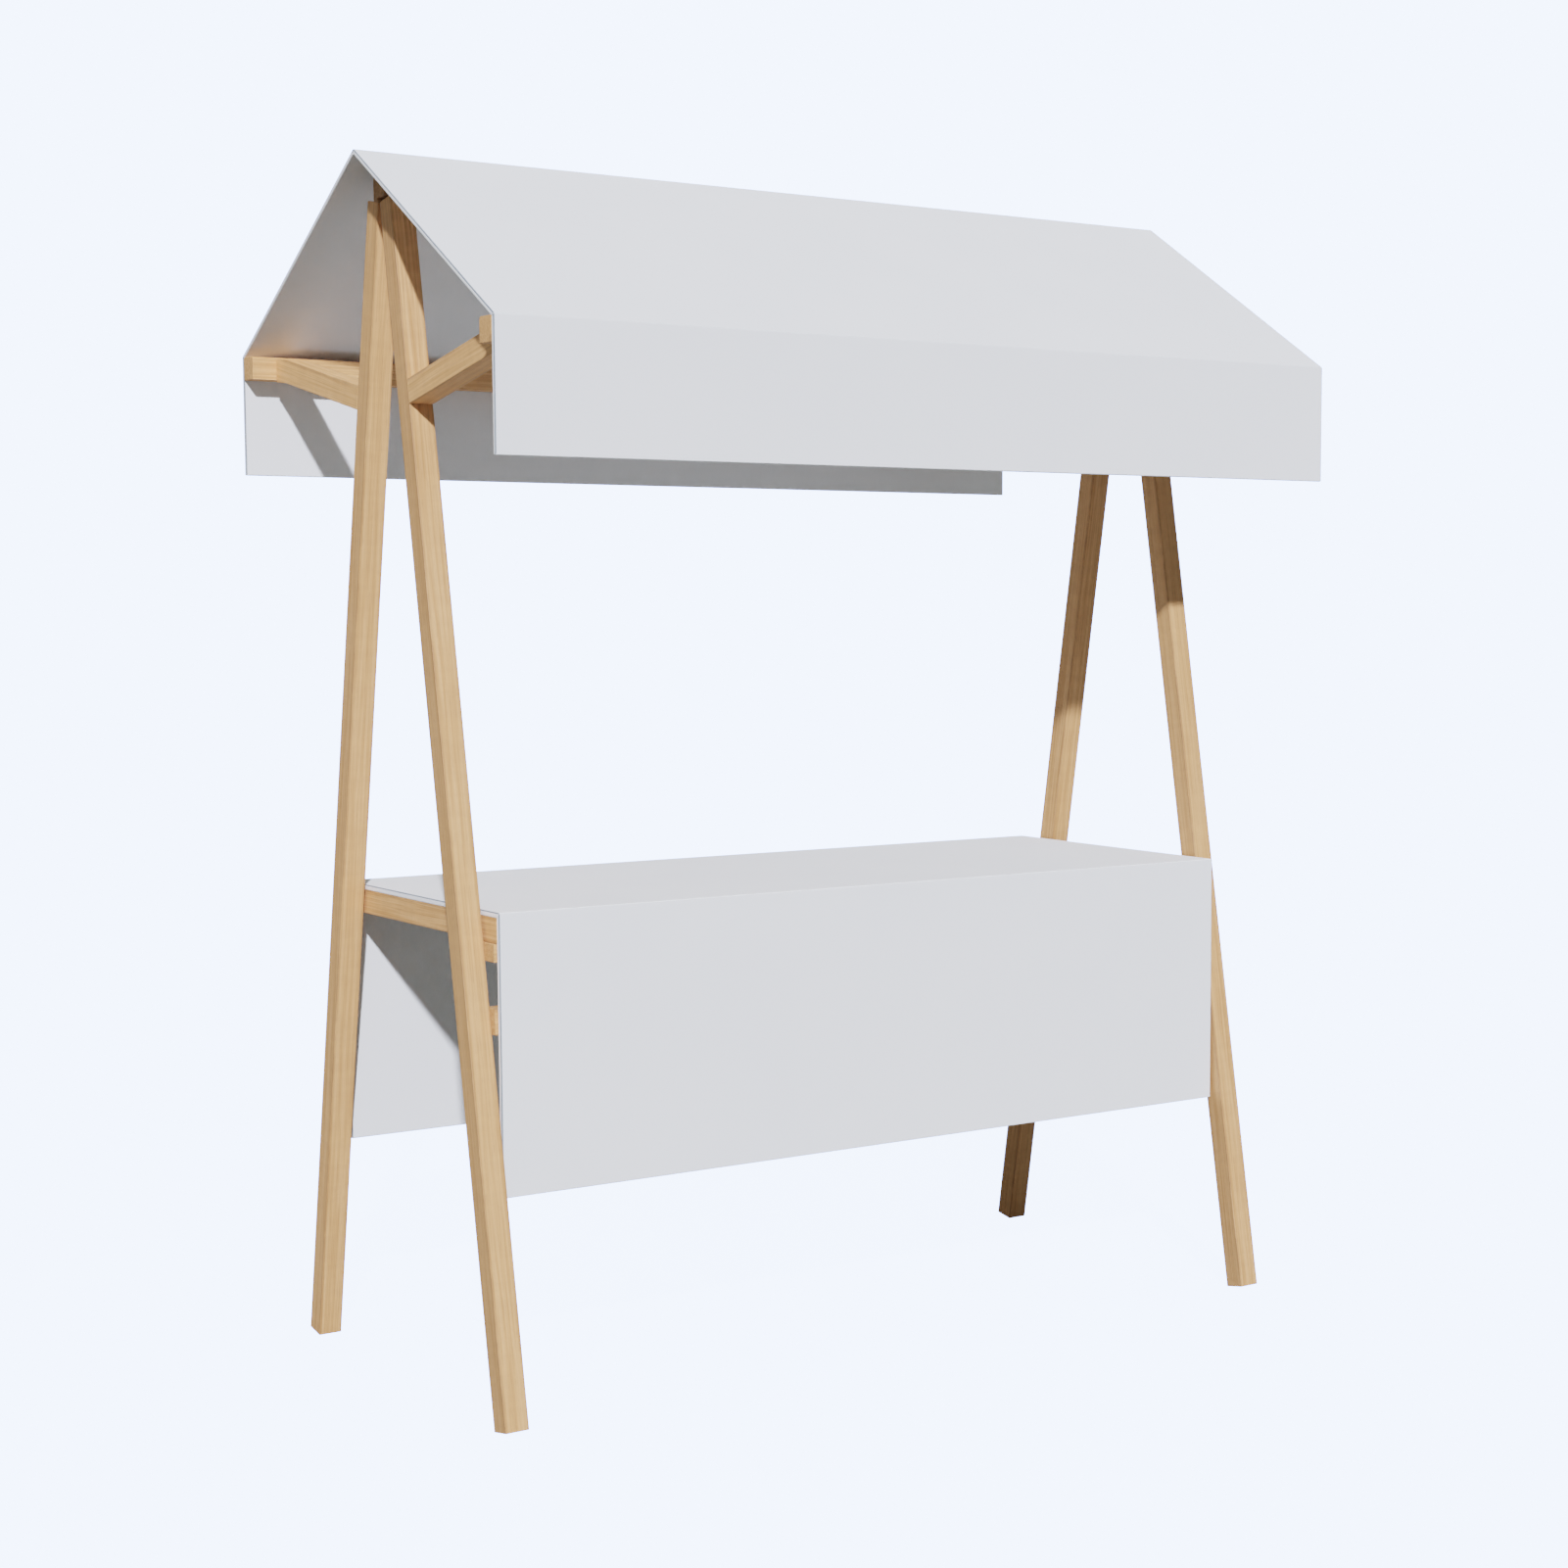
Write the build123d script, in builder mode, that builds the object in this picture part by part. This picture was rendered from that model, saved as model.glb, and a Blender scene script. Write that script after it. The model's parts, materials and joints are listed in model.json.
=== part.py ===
"""Folding vending cart: a pair of timber A-frames with outstretched arms, a saddle roof with
hanging valances and a counter with deep skirts.

Millimetres, +Z up, -Y towards the customer, X along the counter.
The origin is on the ground under the middle of the cart.
The front half (front legs, arms, eave rail and front roof) hinges at the top of the frames.
"""

import os
from math import acos, atan, atan2, cos, hypot, sin, tan

from build123d import *

# Timber and board
timber = 45.0  # square section of the legs, arms, rails and end rails
roof_board = 8.0  # thickness of the roof boards and valances
counter_board = 10.0  # thickness of the counter top and skirts

# A-frames
frame_length = 1730.0  # over the outer faces of the two A-frames
leg_spread = 862.0  # over the outer faces of the front and back legs, on the ground
hinge_drop = 86.0  # from the ridge to the axis on which the front and back legs swing
leg_gap = 6.0  # between the front and back legs when the frame is shut
leg_top_drop = 4.0  # from the hinge axis to the square-cut tops of the legs

# Roof
ridge_height = 2234.0  # overall height
roof_overhang = 47.0  # past the outer face of each A-frame
roof_depth = 1092.0  # over the outer faces of the valances
roof_rise = 328.0  # from the eaves to the ridge
valance_depth = 228.0
ridge_gap = 1.0  # between the two roof boards at the ridge

# Eave rails, arms and ridge beam
rail_height = 44.0
rail_drop = 46.0  # from the eaves to the bottom of a rail
rail_round = 6.0  # rounding of the inner top edge of an eave rail
arm_step = 3.0  # from the top of an eave rail down to the top of the arm that meets it
arm_slope = 0.2  # fall of an arm towards its leg
arm_end_length = 47.0  # flatter end of an arm, beside the eave rail
arm_end_slope = 0.1
beam_clearance = 5.0  # from the ridge beam to the front legs and the front roof board
beam_seat_start = 6.0  # from the middle of the ridge beam to its seat on the back legs

# Counter
counter_height = 900.0
counter_depth = 664.0  # over the outer faces of the skirts
counter_clearance = 5.0  # from each end of the counter to the legs that swing past it
skirt_bottom = 396.0
bearer_height = 33.0
bearer_inset = 3.0  # from the plane of the legs' inner faces to the bearer's inner edge
bearer_skirt_gap = 1.0  # from the bearer or the batten to the front skirt
seat_gap = 0.3  # from the bearer to the end rails that rest on it
spacer_radius = 12.0
batten_top = 730.0
batten_height = 46.0
batten_hold = 20.0  # how far the batten laps over the legs, at the least

# Hinges
leaf_thickness = 1.5
leaf_inset = 8.0  # from each side of a leg to the leaf on it
leaf_length = 30.0
knuckle_radius = 3.0
pin_radius = 1.5
pin_clearance = 0.3
knuckle_gap = 0.6

# Heights that follow the ridge
hinge_height = ridge_height - hinge_drop
eave_height = ridge_height - roof_rise
valance_bottom = eave_height - valance_depth
rail_bottom = eave_height - rail_drop
rail_top = rail_bottom + rail_height
arm_top = rail_top - arm_step

# Angles
foot_reach = leg_spread / 2
leg_outer = leg_gap / 2 + timber  # from the hinge axis square out to a leg's outer face
lean = acos(leg_outer / hypot(foot_reach, hinge_height)) - atan2(hinge_height, foot_reach)
roof_fall = roof_rise / (roof_depth / 2)
pitch = atan(roof_fall)

# Places shared by several pieces
frame_outer = frame_length / 2
frame_inner = frame_outer - timber
roof_end = frame_outer + roof_overhang
rail_outer = roof_depth / 2 - roof_board
rail_inner = rail_outer - timber
counter_end = frame_inner - counter_clearance
skirt_inner = counter_depth / 2 - counter_board
end_rail_top = counter_height - counter_board
end_rail_bottom = end_rail_top - timber
leaf_width = timber - 2 * leaf_inset

FRONT = -1
BACK = 1
SIDES = {"left": -1, "right": 1}


def export(part, name):
    part.label = name
    export_step(part, f"parts/{name}.step")


def bar(outline, side, start, end):
    """A piece with one outline in Y and Z, turned to the front or the back, from X start to end."""
    points = [(side * y, z) for y, z in outline]
    with BuildPart() as piece:
        with BuildSketch(Plane.YZ.offset(start)):
            with BuildLine():
                Polyline(*points, close=True)
            make_face()
        extrude(amount=end - start)
    return piece


def frame_span(hand):
    """The X range of the left or right A-frame, low end first."""
    ends = (hand * frame_inner, hand * frame_outer)
    return min(ends), max(ends)


def from_hinge(out, down):
    """The Y and Z of a point on a leg: out is square to its inner face, down is along the leg."""
    return (
        out * cos(lean) + down * sin(lean),
        hinge_height + out * sin(lean) - down * cos(lean),
    )


def leg_face(height, out=leg_outer):
    """How far from the middle a leg's outer face, or another plane beside it, is at a height."""
    return (hinge_height - height) * tan(lean) + out / cos(lean)


def roof_underside(y):
    """Height of the roof boards' underside at a distance from the middle."""
    return ridge_height - roof_fall * y - roof_board / cos(pitch)


def make_legs():
    """Square-cut legs, which stand on the lower edges of their feet."""
    inner = leg_gap / 2
    foot = (hinge_height + inner * sin(lean)) / cos(lean)
    outline = [
        from_hinge(inner, leg_top_drop),
        from_hinge(leg_outer, leg_top_drop),
        from_hinge(leg_outer, foot),
        from_hinge(inner, foot),
    ]
    for hand_name, hand in SIDES.items():
        start, end = frame_span(hand)
        for side_name, side in (("front", FRONT), ("back", BACK)):
            leg = bar(outline, side, start, end)
            export(leg.part, f"{side_name}_leg_{hand_name}")


def arm_root(kink_height):
    """Height at which an arm's sloping edge meets the outer face of its leg."""
    kink = rail_inner - arm_end_length
    face = hinge_height * tan(lean) + leg_outer / cos(lean)
    return (kink_height - arm_slope * (kink - face)) / (1 + arm_slope * tan(lean))


def make_arms():
    """Arms that rise from the legs and flatten at the eave rails."""
    kink = rail_inner - arm_end_length
    kink_top = arm_top - arm_end_slope * arm_end_length
    top_root = arm_root(kink_top)
    low_root = arm_root(kink_top - timber)
    outline = [
        (leg_face(top_root), top_root),
        (kink, kink_top),
        (rail_inner, arm_top),
        (rail_inner, arm_top - timber),
        (kink, kink_top - timber),
        (leg_face(low_root), low_root),
    ]
    for hand_name, hand in SIDES.items():
        start, end = frame_span(hand)
        for side_name, side in (("front", FRONT), ("back", BACK)):
            arm = bar(outline, side, start, end)
            export(arm.part, f"{side_name}_arm_{hand_name}")


def make_eave_rails():
    """Rails under both eaves, bevelled where the roof board crosses their outer top edge."""
    bevel_start = (ridge_height - roof_board / cos(pitch) - rail_top) / roof_fall
    outline = [
        (rail_inner, rail_bottom),
        (rail_outer, rail_bottom),
        (rail_outer, roof_underside(rail_outer)),
        (bevel_start, rail_top),
        (rail_inner, rail_top),
    ]
    for side_name, side in (("front", FRONT), ("back", BACK)):
        points = [(side * y, z) for y, z in outline]
        with BuildPart() as rail:
            with BuildSketch(Plane.YZ.offset(-roof_end)) as section:
                with BuildLine():
                    Polyline(*points, close=True)
                make_face()
                inner_edge = section.vertices().group_by(Axis.X)[0 if side == BACK else -1]
                fillet(inner_edge.sort_by(Axis.Y)[-1], rail_round)
            extrude(amount=2 * roof_end)
        export(rail.part, f"{side_name}_eave_rail")


def make_ridge_beam():
    """Beam on the tops of the back legs. It carries the back roof board, clear of the front half."""

    def leg_top(y):
        return hinge_height + (y - leg_top_drop * sin(lean)) * tan(lean) - leg_top_drop * cos(lean)

    half = timber / 2
    bottom = hinge_height + beam_clearance
    drop = beam_clearance / cos(pitch)
    outline = [
        (-half, bottom),
        (beam_seat_start, bottom),
        (beam_seat_start, leg_top(beam_seat_start)),
        (half, leg_top(half)),
        (half, roof_underside(half)),
        (beam_seat_start, roof_underside(beam_seat_start)),
        (0, roof_underside(0) - drop),
        (-half, roof_underside(half) - drop),
    ]
    beam = bar(outline, BACK, -frame_outer, frame_outer)
    export(beam.part, "ridge_beam")


def make_roof():
    """Roof boards and valances, mitred together along the eaves."""
    outer = roof_depth / 2
    ridge = ridge_gap / 2
    eave_inside = (rail_outer, roof_underside(rail_outer))
    board = [
        (ridge, ridge_height - roof_fall * ridge),
        (outer, eave_height),
        eave_inside,
        (ridge, roof_underside(ridge)),
    ]
    valance = [
        (outer, eave_height),
        (outer, valance_bottom),
        (rail_outer, valance_bottom),
        eave_inside,
    ]
    for side_name, side in (("front", FRONT), ("back", BACK)):
        roof = bar(board, side, -roof_end, roof_end)
        export(roof.part, f"roof_board_{side_name}")
        hanging = bar(valance, side, -roof_end, roof_end)
        export(hanging.part, f"valance_{side_name}")


def make_counter():
    """Counter top and skirts, mitred together, on two end rails."""
    outer = counter_depth / 2
    top = [
        (-outer, counter_height),
        (outer, counter_height),
        (skirt_inner, end_rail_top),
        (-skirt_inner, end_rail_top),
    ]
    skirt = [
        (outer, counter_height),
        (outer, skirt_bottom),
        (skirt_inner, skirt_bottom),
        (skirt_inner, end_rail_top),
    ]
    end_rail = [
        (-skirt_inner, end_rail_top),
        (skirt_inner, end_rail_top),
        (skirt_inner, end_rail_bottom),
        (-skirt_inner, end_rail_bottom),
    ]
    counter = bar(top, BACK, -counter_end, counter_end)
    export(counter.part, "counter_top")
    for side_name, side in (("front", FRONT), ("back", BACK)):
        hanging = bar(skirt, side, -counter_end, counter_end)
        export(hanging.part, f"skirt_{side_name}")
    for hand_name, hand in SIDES.items():
        ends = sorted((hand * counter_end, hand * (counter_end - timber)))
        rail = bar(end_rail, BACK, *ends)
        export(rail.part, f"counter_end_rail_{hand_name}")


def make_supports():
    """What carries the counter: the bearer between the front legs, the batten behind the front
    skirt, and the spacers through which the end rails are bolted to the back legs."""
    outer = skirt_inner - bearer_skirt_gap
    low = end_rail_bottom - bearer_height
    top = end_rail_bottom - seat_gap
    inner = leg_face(low, leg_gap / 2) + bearer_inset
    outline = [(inner, low), (outer, low), (outer, top), (inner, top)]
    bearer = bar(outline, FRONT, -frame_inner, frame_inner)
    export(bearer.part, "front_bearer")
    low = batten_top - batten_height
    inner = min(outer - timber, leg_face(batten_top) - batten_hold)
    outline = [(inner, low), (outer, low), (outer, batten_top), (inner, batten_top)]
    batten = bar(outline, FRONT, -frame_inner, frame_inner)
    export(batten.part, "skirt_batten")
    height = end_rail_top - timber / 2
    middle = leg_face(height, leg_gap / 2 + timber / 2)
    for hand_name, hand in SIDES.items():
        start = min(hand * counter_end, hand * frame_inner)
        with BuildPart() as spacer:
            with BuildSketch(Plane.YZ.offset(start)):
                with Locations((middle, height)):
                    Circle(spacer_radius)
            extrude(amount=counter_clearance)
        export(spacer.part, f"counter_spacer_{hand_name}")


def make_hinge_leaf(side, centre, knuckles, bore):
    """A leaf on a leg's inner face with its knuckles, which are given as X ranges from the centre."""
    inner = leg_gap / 2 - leaf_thickness
    outer = leg_gap / 2
    plate = [
        from_hinge(inner, leg_top_drop),
        from_hinge(outer, leg_top_drop),
        from_hinge(outer, leaf_length),
        from_hinge(inner, leaf_length),
    ]
    tab = [
        from_hinge(inner, 0),
        from_hinge(outer, 0),
        from_hinge(outer, leg_top_drop),
        from_hinge(inner, leg_top_drop),
    ]
    with BuildPart() as leaf:
        with BuildSketch(Plane.YZ.offset(centre - leaf_width / 2)):
            with BuildLine():
                Polyline(*[(side * y, z) for y, z in plate], close=True)
            make_face()
        extrude(amount=leaf_width)
        for start, end in knuckles:
            with BuildSketch(Plane.YZ.offset(centre + start)):
                with BuildLine():
                    Polyline(*[(side * y, z) for y, z in tab], close=True)
                make_face()
                with Locations((0, hinge_height)):
                    Circle(knuckle_radius)
            extrude(amount=end - start)
        if bore:
            with BuildSketch(Plane.YZ.offset(centre - leaf_width / 2)):
                with Locations((0, hinge_height)):
                    Circle(pin_radius + pin_clearance)
            extrude(amount=leaf_width, mode=Mode.SUBTRACT)
        else:
            with BuildSketch(Plane.YZ.offset(centre - leaf_width / 2)):
                with Locations((0, hinge_height)):
                    Circle(pin_radius)
            extrude(amount=leaf_width)
    return leaf


def make_hinges():
    """A butt hinge between the tops of each pair of legs. The pin is fast in the back leaf."""
    half = leaf_width / 2
    third = leaf_width / 6
    middle = [(-third + knuckle_gap, third - knuckle_gap)]
    ends = [(-half, -third), (third, half)]
    for hand_name, hand in SIDES.items():
        centre = hand * (frame_outer - timber / 2)
        front = make_hinge_leaf(FRONT, centre, ends, bore=True)
        export(front.part, f"hinge_leaf_front_{hand_name}")
        back = make_hinge_leaf(BACK, centre, middle, bore=False)
        export(back.part, f"hinge_leaf_back_{hand_name}")


os.makedirs("parts", exist_ok=True)
make_legs()
make_arms()
make_eave_rails()
make_ridge_beam()
make_roof()
make_counter()
make_supports()
make_hinges()
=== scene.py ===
"""The looks of a folding vending cart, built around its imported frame.

Metres, +Z up, -Y towards the customer. Each CAD node gets a piece with eased edges in its place.
"""

import json
from math import cos, pi, radians, sin

import bmesh
import bpy
from mathutils import Euler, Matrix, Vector


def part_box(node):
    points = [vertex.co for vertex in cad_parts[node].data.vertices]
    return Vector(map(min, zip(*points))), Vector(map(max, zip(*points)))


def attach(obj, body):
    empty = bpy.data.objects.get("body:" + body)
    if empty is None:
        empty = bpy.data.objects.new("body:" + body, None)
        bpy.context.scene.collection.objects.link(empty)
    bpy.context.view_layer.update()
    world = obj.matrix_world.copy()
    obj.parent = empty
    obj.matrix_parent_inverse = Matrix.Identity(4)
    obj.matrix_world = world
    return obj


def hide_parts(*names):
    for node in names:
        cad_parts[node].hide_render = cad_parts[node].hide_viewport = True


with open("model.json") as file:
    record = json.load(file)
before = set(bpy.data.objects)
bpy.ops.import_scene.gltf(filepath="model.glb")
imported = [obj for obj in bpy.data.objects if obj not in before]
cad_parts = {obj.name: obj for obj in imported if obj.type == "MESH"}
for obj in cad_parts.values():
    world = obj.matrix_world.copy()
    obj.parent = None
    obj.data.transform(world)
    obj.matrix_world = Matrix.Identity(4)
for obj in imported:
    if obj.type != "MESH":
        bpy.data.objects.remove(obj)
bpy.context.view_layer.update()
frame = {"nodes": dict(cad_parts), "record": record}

# Eased edges
# Widths are measured along each side from the edge.
timber_ease = 0.0012
board_ease = 0.0018
leaf_ease = 0.0003
ease_segments = 3
flat_angle = radians(0.5)  # faces closer than this are one flat face
sharp_angle = radians(20.0)  # edges that turn more than this are eased
weld_distance = 1e-6

# Timber
leg_low, leg_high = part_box("back_leg_left")
half_timber = (leg_high.x - leg_low.x) / 2  # half the side of a leg
pith_distance = 0.085  # from the middle of a timber to the heart of its tree
pith_turn = 2.4  # turn from one timber to the next, in radians
plank_step = 3.7  # length of tree between one timber and the next

# Brightness of a timber's oak, by a part of its name, chosen to bring it nearer to the photo's.
# The first that fits counts, and the rest are 1.
# This brightness is painted light and shade: it darkens the ridge beam and right-hand timbers as painted
# shade, and lightens the arms, rails and back left leg as painted light.
timber_paleness = {
    "arm": 1.30,
    "end_rail": 1.20,
    "eave_rail": 1.12,
    "ridge_beam": 0.60,
    "back_leg_left": 1.07,
    "_right": 0.95,
}

# Oak. Scales are noise cells per metre, across the grain twice and then along it.
oak_pale = (0.71, 0.388, 0.182)
oak_middle = (0.595, 0.302, 0.128)
oak_dark = (0.43, 0.192, 0.068)
oak_warm = (0.58, 0.31, 0.13)
oak_pore = (0.27, 0.13, 0.055)
oak_arris = (0.28, 0.13, 0.05)
rings_per_metre = 300.0
ring_share = 0.22  # what rings, fibres and streaks each add to how dark the wood is
fibre_share = 0.30
streak_share = 0.48
grain_wander = 0.012  # how far the grain strays, from one side to the other
wander_scale = (9.0, 9.0, 1.6)
fibre_scale = (520.0, 520.0, 9.0)
streak_scale = (200.0, 200.0, 4.0)
tone_scale = (6.0, 6.0, 0.8)
pore_scale = (1700.0, 1700.0, 45.0)
patch_scale = (60.0, 60.0, 14.0)
figure_scale = (14.0, 14.0, 55.0)
arris_start = 0.0055  # from the arris to where the darker strip beside it begins
arris_full = 0.001  # from the arris to where the strip is darkest
arris_strength = 0.58

# Boards
white = (0.785, 0.80, 0.815)
white_shade = (0.77, 0.787, 0.805)
# The counter top's brighter white is painted light: it only brightens the lit top beyond the other boards.
counter_painted_light = (0.96, 0.97, 0.975)
counter_painted_light_tone = (0.94, 0.95, 0.96)
# The edging's brighter white is a painted highlight on the boards' edges and ends.
edging_painted_highlight = (0.96, 0.97, 0.98)
edging_painted_highlight_tone = (0.94, 0.95, 0.965)
# The grey is painted shade on the eased faces by the boards' ends.
painted_shade_grey = (0.19, 0.22, 0.25)
painted_shade_tone = (0.25, 0.28, 0.31)
speck_grey = (0.62, 0.62, 0.63)
cloud_scale = (5.0, 5.0, 5.0)
speck_scale = (900.0, 900.0, 900.0)
scuff_scale = (40.0, 14.0, 70.0)
skin_scale = (1300.0, 1300.0, 1300.0)

# Steel
steel_dark = (0.26, 0.25, 0.24)
steel_light = (0.36, 0.36, 0.36)
brush_scale = (60.0, 2500.0, 2500.0)
stain_scale = (120.0, 120.0, 120.0)

# Camera
camera_place = Vector((-2.917, -4.655, 1.468))
camera_yaw = radians(36.73)
camera_pitch = radians(-5.29)
camera_roll = radians(-0.10)
camera_lens = 62.92
camera_sensor = 36.0
camera_shift = (-0.1496, 0.0352)

# Light
# The sun comes from the front left and above, in a direction found from the photo's shadows.
sun_travel = Vector((0.50, 1.0, -0.68))
sun_strength = 6.2
sun_colour = (0.95, 0.97, 1.08)
sun_angle = radians(2.0)
sky_zenith = (0.38, 0.39, 0.375)
sky_horizon = (0.26, 0.268, 0.255)
backdrop_light = (4.0, 5.2, 9.5)  # seen by the camera only, like the bright floor
floor_size = 60.0
floor_reflection = (0.165, 0.167, 0.15)
floor_shade = 0.05  # share of the floor's brightness that a shadow can take away
floor_lit_share = 0.7  # of that share, what the floor reflects


def node(tree, kind, settings=None, **inputs):
    """A shader node with its settings, and its inputs set or linked by name or number."""
    made = tree.nodes.new("ShaderNode" + kind)
    for name, value in (settings or {}).items():
        setattr(made, name, value)
    for name, value in inputs.items():
        key = int(name[2:]) if name.startswith("in") and name[2:].isdigit() else name.replace("_", " ")
        if isinstance(value, bpy.types.NodeSocket):
            tree.links.new(value, made.inputs[key])
        else:
            made.inputs[key].default_value = value
    return made


def maths(tree, operation, first, second=0.0, clamp=False):
    settings = {"operation": operation, "use_clamp": clamp}
    return node(tree, "Math", settings, in0=first, in1=second).outputs[0]


def stretched_noise(tree, vector, scale, detail=2.0, roughness=0.5):
    """Noise whose cells are 1/scale metres along each axis."""
    place = node(tree, "VectorMath", {"operation": "MULTIPLY"}, in0=vector, in1=scale).outputs[0]
    return node(tree, "TexNoise", Vector=place, Scale=1.0, Detail=detail, Roughness=roughness).outputs


def ramp(tree, factor, stops, interpolation="LINEAR"):
    made = node(tree, "ValToRGB", in0=factor)
    band = made.color_ramp
    band.interpolation = interpolation
    while len(band.elements) < len(stops):
        band.elements.new(1.0)
    for element, (position, colour) in zip(band.elements, stops):
        element.position = position
        element.color = (*colour, 1.0)
    return made.outputs["Color"]


def spread(tree, value, low, high, new_low=0.0, new_high=1.0):
    """A value mapped smoothly from one range to another."""
    made = node(tree, "MapRange", {"interpolation_type": "SMOOTHSTEP"}, Value=value)
    for name, number in (("From Min", low), ("From Max", high), ("To Min", new_low), ("To Max", new_high)):
        made.inputs[name].default_value = number
    return made.outputs["Result"]


def mix(tree, factor, first, second, blend="MIX"):
    made = node(tree, "Mix", {"data_type": "RGBA", "blend_type": blend})
    for key, value in ((0, factor), (6, first), (7, second)):
        if isinstance(value, bpy.types.NodeSocket):
            tree.links.new(value, made.inputs[key])
        else:
            made.inputs[key].default_value = value if key == 0 else (*value, 1.0)
    return made.outputs[2]


def new_material(name):
    material = bpy.data.materials.new(name)
    material.use_nodes = True
    tree = material.node_tree
    return material, tree, tree.nodes["Principled BSDF"]


def multiply(tree, value, factor):
    return maths(tree, "MULTIPLY", value, factor)


def bend_grain(tree, grain):
    """The grain's places, shifted a little so that rings and fibres don't run dead straight."""
    wander = stretched_noise(tree, grain, wander_scale, 2.0)["Color"]
    wander = node(tree, "VectorMath", {"operation": "SUBTRACT"}, in0=wander, in1=(0.5, 0.5, 0.5)).outputs[0]
    wander = node(tree, "VectorMath", {"operation": "SCALE"}, in0=wander, Scale=grain_wander).outputs[0]
    return node(tree, "VectorMath", {"operation": "ADD"}, in0=grain, in1=wander).outputs[0]


def growth_rings(tree, bent):
    """Rings round the heart, each dark where a year begins and paler towards its end."""
    across = node(tree, "VectorMath", {"operation": "MULTIPLY"}, in0=bent, in1=(1.0, 1.0, 0.0)).outputs[0]
    radius = node(tree, "VectorMath", {"operation": "LENGTH"}, in0=across).outputs["Value"]
    rings = maths(tree, "FRACT", multiply(tree, radius, rings_per_metre))
    year = ((0.0, 0.75), (0.10, 1.0), (0.45, 0.35), (0.90, 0.1), (1.0, 0.75))
    return ramp(tree, rings, [(place, (darkness,) * 3) for place, darkness in year], "EASE")


def arris_strip(tree, grain, section):
    """A patchy strip beside the long edges of a timber with the section of a leg.

    It is wider on a thicker timber, and a thinner one has none.
    """
    sides = node(tree, "SeparateXYZ", Vector=section).outputs
    nearness = maths(tree, "MINIMUM", maths(tree, "ABSOLUTE", sides[0]), maths(tree, "ABSOLUTE", sides[1]))
    strip = spread(tree, nearness, half_timber - arris_start, half_timber - arris_full)
    patches = stretched_noise(tree, grain, patch_scale, 3.0)["Fac"]
    return multiply(tree, strip, spread(tree, patches, 0.3, 0.6, 0.35, 1.0))


def make_oak():
    """Planed, oiled oak. The grain attribute is a place in the tree, with its heart along Z."""
    material, tree, shader = new_material("oak")
    grain = node(tree, "Attribute", {"attribute_name": "grain"}).outputs["Vector"]
    section = node(tree, "Attribute", {"attribute_name": "section"}).outputs["Vector"]
    paleness = node(tree, "Attribute", {"attribute_name": "paleness"}).outputs["Fac"]

    bent = bend_grain(tree, grain)
    rings = growth_rings(tree, bent)
    arris = arris_strip(tree, grain, section)
    fibres = stretched_noise(tree, bent, fibre_scale, 3.0, 0.6)["Fac"]
    streaks = stretched_noise(tree, bent, streak_scale, 2.0)["Fac"]
    tone = stretched_noise(tree, grain, tone_scale, 1.0)["Fac"]
    pores = spread(tree, stretched_noise(tree, bent, pore_scale, 1.0)["Fac"], 0.60, 0.72)
    figure = stretched_noise(tree, grain, figure_scale, 2.0)["Fac"]

    darkness = multiply(tree, rings, ring_share)
    fibre_darkness = multiply(tree, spread(tree, fibres, 0.25, 0.75), fibre_share)
    streak_darkness = multiply(tree, spread(tree, streaks, 0.35, 0.65), streak_share)
    darkness = maths(tree, "ADD", darkness, fibre_darkness)
    darkness = maths(tree, "ADD", darkness, streak_darkness)
    colour = ramp(tree, darkness, ((0.0, oak_pale), (0.5, oak_middle), (1.0, oak_dark)))
    colour = mix(tree, spread(tree, tone, 0.3, 0.7, 0.0, 0.35), colour, oak_warm)
    colour = mix(tree, multiply(tree, pores, 0.35), colour, oak_pore)
    colour = mix(tree, multiply(tree, arris, arris_strength), colour, oak_arris)
    # Painted light and shade: each timber's set brightness scales its colour, with a faint figure.
    brightness = multiply(tree, paleness, spread(tree, figure, 0.3, 0.7, 0.97, 1.03))
    colour = node(tree, "VectorMath", {"operation": "SCALE"}, in0=colour, Scale=brightness).outputs[0]
    tree.links.new(colour, shader.inputs["Base Color"])

    rough = spread(tree, fibres, 0.2, 0.8, 0.50, 0.64)
    rough = maths(tree, "ADD", rough, multiply(tree, arris, -0.10))
    tree.links.new(rough, shader.inputs["Roughness"])
    shader.inputs["Specular IOR Level"].default_value = 0.35

    relief = maths(tree, "SUBTRACT", multiply(tree, fibres, 0.6), multiply(tree, pores, 0.5))
    relief = maths(tree, "SUBTRACT", relief, multiply(tree, rings, 0.15))
    bump = node(tree, "Bump", Height=relief, Strength=0.35, Distance=0.0004)
    tree.links.new(bump.outputs[0], shader.inputs["Normal"])
    return material


def make_board(name, colour, shade, roughness):
    """Matte board: a fine orange-peel skin, faint clouds from one colour to the other, and specks."""
    material, tree, shader = new_material(name)
    place = node(tree, "TexCoord").outputs["Object"]
    clouds = stretched_noise(tree, place, cloud_scale, 4.0)["Fac"]
    specks = stretched_noise(tree, place, speck_scale, 1.0)["Fac"]
    scuffs = stretched_noise(tree, place, scuff_scale, 5.0, 0.65)["Fac"]
    skin = stretched_noise(tree, place, skin_scale, 2.0)["Fac"]
    face = mix(tree, spread(tree, clouds, 0.3, 0.7), colour, shade)
    face = mix(tree, spread(tree, specks, 0.62, 0.78, 0.0, 0.10), face, speck_grey)
    tree.links.new(face, shader.inputs["Base Color"])
    rough = maths(tree, "ADD", spread(tree, scuffs, 0.3, 0.7, -0.05, 0.05), roughness)
    tree.links.new(rough, shader.inputs["Roughness"])
    shader.inputs["Specular IOR Level"].default_value = 0.08
    bump = node(tree, "Bump", Height=skin, Strength=0.12, Distance=0.0002)
    tree.links.new(bump.outputs[0], shader.inputs["Normal"])
    return material


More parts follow.
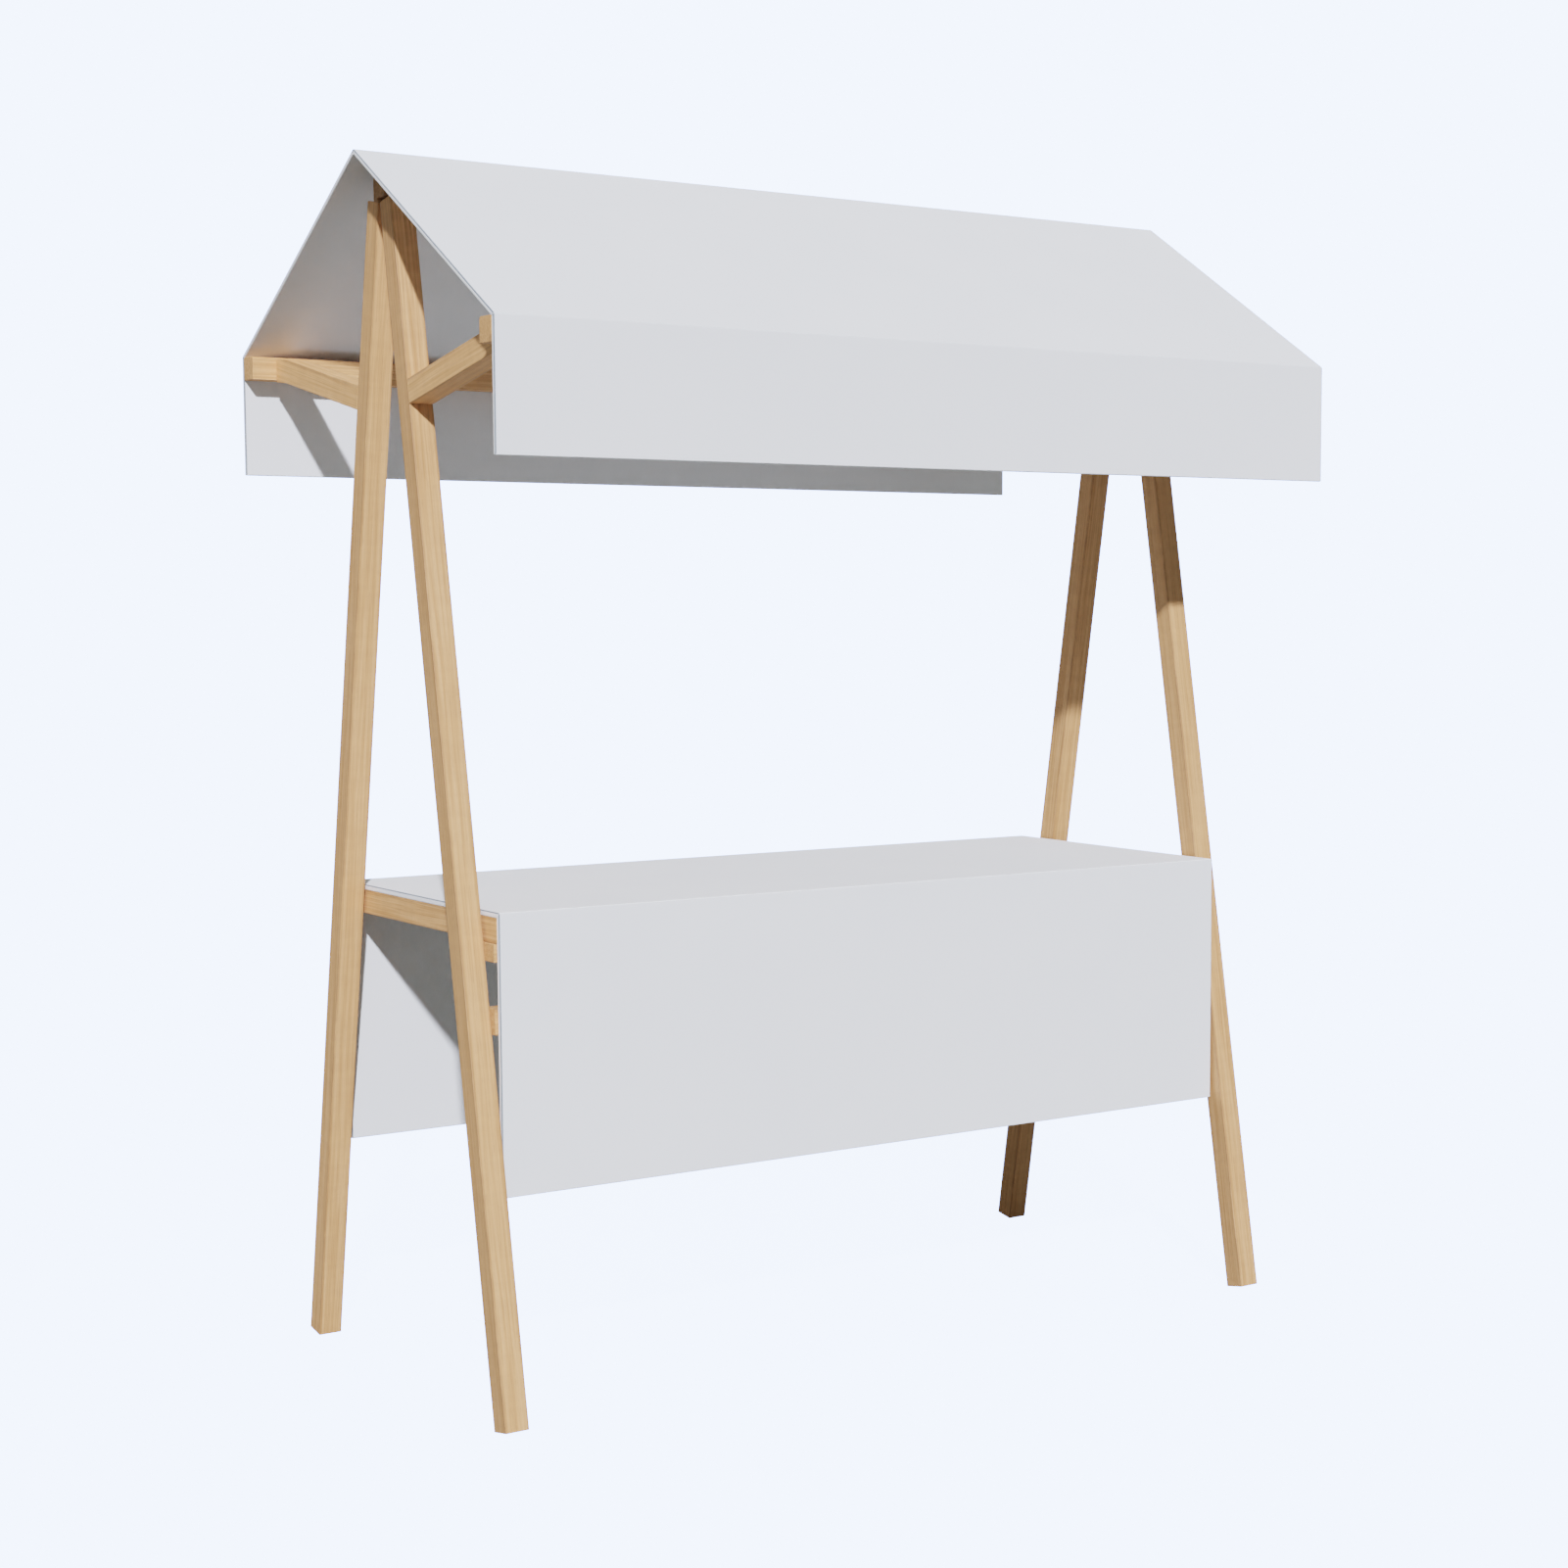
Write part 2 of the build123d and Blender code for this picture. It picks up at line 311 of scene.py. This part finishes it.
def make_steel():
    """Brushed, dark hinge steel with slightly darker patches."""
    material, tree, shader = new_material("hinge_steel")
    place = node(tree, "TexCoord").outputs["Object"]
    brushed = stretched_noise(tree, place, brush_scale, 2.0)["Fac"]
    stains = stretched_noise(tree, place, stain_scale, 3.0)["Fac"]
    colour = ramp(tree, stains, ((0.35, steel_dark), (0.65, steel_light)))
    tree.links.new(colour, shader.inputs["Base Color"])
    tree.links.new(spread(tree, brushed, 0.2, 0.8, 0.28, 0.46), shader.inputs["Roughness"])
    shader.inputs["Metallic"].default_value = 1.0
    bump = node(tree, "Bump", Height=brushed, Strength=0.2, Distance=0.0001)
    tree.links.new(bump.outputs[0], shader.inputs["Normal"])
    return material


def node_solid(name):
    """A CAD node's mesh as a bmesh with one face on each flat side."""
    solid = bmesh.new()
    solid.from_mesh(frame["nodes"][name].data)
    bmesh.ops.remove_doubles(solid, verts=solid.verts, dist=weld_distance)
    bmesh.ops.dissolve_limit(
        solid, angle_limit=flat_angle, verts=solid.verts, edges=solid.edges, use_dissolve_boundaries=False
    )
    bmesh.ops.recalc_face_normals(solid, faces=solid.faces)
    return solid


def ease(solid, width):
    """Rounds the edges between flat sides. Rounded faces that are there already stay."""
    sharp = [edge for edge in solid.edges if edge.is_manifold and edge.calc_face_angle() > sharp_angle]
    bmesh.ops.bevel(
        solid,
        geom=sharp,
        offset=width,
        offset_type="OFFSET",
        segments=ease_segments,
        profile=0.5,
        affect="EDGES",
        clamp_overlap=True,
    )


def finish_piece(solid, name, body, materials):
    mesh = bpy.data.meshes.new(name)
    for face in solid.faces:
        face.smooth = True
    solid.to_mesh(mesh)
    solid.free()
    for material in materials:
        mesh.materials.append(material)
    piece = bpy.data.objects.new(name, mesh)
    bpy.context.scene.collection.objects.link(piece)
    normals = piece.modifiers.new("flat_sides", "WEIGHTED_NORMAL")
    normals.weight = 100
    normals.keep_sharp = True
    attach(piece, body)
    return piece


timber_count = 0


def make_timber(name, body, material):
    """A timber with its grain along its longest edge, cut from its own place in the tree."""
    global timber_count
    solid = node_solid(name)
    longest = max(solid.edges, key=lambda edge: edge.calc_length())
    along = (longest.verts[1].co - longest.verts[0].co).normalized()
    wide = Vector((1, 0, 0)) if abs(along.x) < 0.5 else Vector((0, 1, 0))
    deep = along.cross(wide).normalized()
    ease(solid, timber_ease)
    middle = sum((vert.co for vert in solid.verts), Vector()) / len(solid.verts)
    turn = pith_turn * timber_count
    heart = Vector((cos(turn) * pith_distance, sin(turn) * pith_distance, plank_step * timber_count))
    grain = solid.verts.layers.float_vector.new("grain")
    section = solid.verts.layers.float_vector.new("section")
    paleness = solid.verts.layers.float.new("paleness")
    # The timber's painted light and shade, set by its name.
    pale = next((value for part, value in timber_paleness.items() if part in name), 1.0)
    for vert in solid.verts:
        vert[paleness] = pale
        out = vert.co - middle
        place = Vector((out.dot(wide), out.dot(deep), out.dot(along)))
        vert[section] = place
        vert[grain] = place + heart
    timber_count += 1
    piece = finish_piece(solid, f"oak_{name}", body, [material])
    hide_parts(name)
    return piece


def on_painted_shade(normal):
    """Whether an eased face is beside an end, and faces neither down nor to the back: there the boards get
    a grey band of painted shade.
    """
    beside_end = 0.1 < abs(normal.x) < 0.99
    return beside_end and normal.y < 0.05 and normal.z > -0.05


def make_panel(name, body, materials):
    """A board: the two large sides are its face, the eased faces by its ends are grey as painted shade, and
    the rest is its edging, whiter as a painted highlight.
    """
    solid = node_solid(name)
    areas = sorted((face.calc_area() for face in solid.faces), reverse=True)
    smallest_side = areas[1] * 0.9
    sides = [face for face in solid.faces if face.calc_area() > smallest_side]
    for face in solid.faces:
        face.material_index = 1
    for face in sides:
        face.material_index = 0
    ease(solid, board_ease)
    solid.normal_update()
    for face in solid.faces:
        # Painted shade: a grey band on the eased faces by the ends.
        if on_painted_shade(face.normal):
            face.material_index = 2
    piece = finish_piece(solid, f"white_{name}", body, materials)
    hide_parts(name)
    return piece


def make_leaf(name, body, material):
    solid = node_solid(name)
    ease(solid, leaf_ease)
    piece = finish_piece(solid, f"steel_{name}", body, [material])
    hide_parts(name)
    return piece


def make_cart():
    oak = make_oak()
    board = make_board("white_board", white, white_shade, 0.78)
    # The edging's white carries a painted highlight.
    edging = make_board("white_edging_painted_highlight", edging_painted_highlight, edging_painted_highlight_tone, 0.60)
    # The counter's white carries painted light.
    counter = make_board("white_counter", counter_painted_light, counter_painted_light_tone, 0.70)
    # The grey carries painted shade.
    seam = make_board("grey_seam", painted_shade_grey, painted_shade_tone, 0.85)
    steel = make_steel()
    slots = {part["node"]: part["material_slot"] for part in frame["record"]["subparts"]}
    for body, names in frame["record"]["behaviour"]["bodies"].items():
        for name in names:
            if slots[name] == "oak":
                make_timber(name, body, oak)
            elif slots[name] == "white_board":
                # The counter top's face gets the white with painted light.
                face = counter if name == "counter_top" else board
                make_panel(name, body, [face, edging, seam])
            else:
                make_leaf(name, body, steel)


def make_floor():
    """A pale floor. The camera sees it as bright as the backdrop, with a faint shadow.

    Other rays see a dim floor, so that it doesn't light the cart too strongly from below.
    """
    material, tree, shader = new_material("floor")
    tree.nodes.remove(shader)
    output = tree.nodes["Material Output"]
    glow = node(tree, "Emission", Color=(*backdrop_light, 1.0), Strength=1.0 - floor_shade)
    shade = tuple(channel * floor_shade * floor_lit_share for channel in backdrop_light)
    shadow = node(tree, "BsdfDiffuse", Color=(*shade, 1.0))
    seen = node(tree, "AddShader", in0=glow.outputs[0], in1=shadow.outputs[0])
    unseen = node(tree, "BsdfDiffuse", Color=(*floor_reflection, 1.0))
    ray = node(tree, "LightPath").outputs["Is Camera Ray"]
    both = node(tree, "MixShader", Fac=ray, in1=unseen.outputs[0], in2=seen.outputs[0])
    tree.links.new(both.outputs[0], output.inputs["Surface"])

    mesh = bpy.data.meshes.new("floor")
    half = floor_size / 2
    corners = [(-half, -half, 0), (half, -half, 0), (half, half, 0), (-half, half, 0)]
    mesh.from_pydata(corners, [], [(0, 1, 2, 3)])
    mesh.materials.append(material)
    floor = bpy.data.objects.new("floor", mesh)
    bpy.context.scene.collection.objects.link(floor)


def make_sky():
    """A dim sky that lights the shade, brighter overhead. The camera sees the backdrop instead."""
    world = bpy.data.worlds.new("sky")
    world.use_nodes = True
    tree = world.node_tree
    background = tree.nodes["Background"]
    direction = node(tree, "TexCoord").outputs["Generated"]
    height = node(tree, "SeparateXYZ", Vector=direction).outputs["Z"]
    glow = mix(tree, spread(tree, height, 0.0, 0.9), sky_horizon, sky_zenith)
    tree.links.new(glow, background.inputs["Color"])
    backdrop = node(tree, "Background", Color=(*backdrop_light, 1.0))
    ray = node(tree, "LightPath").outputs["Is Camera Ray"]
    both = node(tree, "MixShader", Fac=ray, in1=background.outputs[0], in2=backdrop.outputs[0])
    tree.links.new(both.outputs[0], tree.nodes["World Output"].inputs["Surface"])
    bpy.context.scene.world = world


def make_sun():
    sun = bpy.data.lights.new("sun", "SUN")
    sun.energy = sun_strength
    sun.angle = sun_angle
    sun.color = sun_colour
    lamp = bpy.data.objects.new("sun", sun)
    lamp.rotation_mode = "QUATERNION"
    lamp.rotation_quaternion = sun_travel.to_track_quat("-Z", "Y")
    bpy.context.scene.collection.objects.link(lamp)


def make_camera():
    data = bpy.data.cameras.new("camera")
    data.sensor_width = camera_sensor
    data.lens = camera_lens
    data.shift_x, data.shift_y = camera_shift
    camera = bpy.data.objects.new("camera", data)
    camera.location = camera_place
    camera.rotation_euler = Euler((pi / 2 + camera_pitch, camera_roll, -camera_yaw), "XYZ")
    bpy.context.scene.collection.objects.link(camera)
    bpy.context.scene.camera = camera


make_cart()
make_floor()
make_sky()
make_sun()
make_camera()
bpy.context.scene.view_settings.view_transform = "Filmic"
